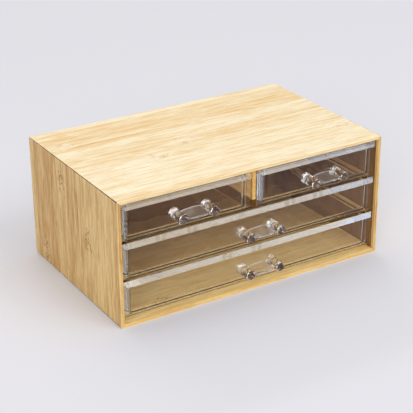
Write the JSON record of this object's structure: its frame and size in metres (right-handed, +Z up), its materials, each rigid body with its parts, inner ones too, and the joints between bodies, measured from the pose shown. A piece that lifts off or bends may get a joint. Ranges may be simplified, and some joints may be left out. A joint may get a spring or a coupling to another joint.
{
  "type": "desktop mini drawers",
  "caption": "Small desktop organiser: a mitred bamboo casing with clear drawers that slide out on side runners, two short ones side by side over full-width ones.",
  "frame": {"origin": "middle of the casing's underside, on the surface that it stands on", "axes": "+X to the right along the front, +Y from the front to the back, +Z up; drawers pull out along -Y"},
  "size_m": [0.255, 0.1754, 0.11],
  "materials": {
    "bamboo_panels": "satin lacquered bamboo",
    "bamboo_strips": "sawn and sanded bamboo",
    "clear_fronts": "polished clear plastic",
    "clear_trays": "moulded clear plastic",
    "clear_handles": "moulded clear plastic"
  },
  "bodies": {
    "casing": {"top_panel": "bamboo_panels", "bottom_panel": "bamboo_panels", "left_panel": "bamboo_panels", "right_panel": "bamboo_panels", "back_panel": "bamboo_panels", "divider": "bamboo_strips", "left_runner_bottom": "bamboo_strips", "left_runner_middle": "bamboo_strips", "left_runner_top": "bamboo_strips", "right_runner_bottom": "bamboo_strips", "right_runner_middle": "bamboo_strips", "right_runner_top": "bamboo_strips", "divider_runner_left": "bamboo_strips", "divider_runner_right": "bamboo_strips"},
    "drawer_bottom": {"drawer_front_bottom": "clear_fronts", "drawer_tray_bottom": "clear_trays", "drawer_handle_bottom": "clear_handles"},
    "drawer_middle": {"drawer_front_middle": "clear_fronts", "drawer_tray_middle": "clear_trays", "drawer_handle_middle": "clear_handles"},
    "drawer_top_left": {"drawer_front_top_left": "clear_fronts", "drawer_tray_top_left": "clear_trays", "drawer_handle_top_left": "clear_handles"},
    "drawer_top_right": {"drawer_front_top_right": "clear_fronts", "drawer_tray_top_right": "clear_trays", "drawer_handle_top_right": "clear_handles"}
  },
  "joints": [
    {"name": "bottom_drawer_slide", "type": "slide", "parent": "casing", "child": "drawer_bottom", "axis": [0, -1, 0], "range_m": [0, 0.12]},
    {"name": "middle_drawer_slide", "type": "slide", "parent": "casing", "child": "drawer_middle", "axis": [0, -1, 0], "range_m": [0, 0.12]},
    {"name": "top_left_drawer_slide", "type": "slide", "parent": "casing", "child": "drawer_top_left", "axis": [0, -1, 0], "range_m": [0, 0.12]},
    {"name": "top_right_drawer_slide", "type": "slide", "parent": "casing", "child": "drawer_top_right", "axis": [0, -1, 0], "range_m": [0, 0.12]}
  ]
}
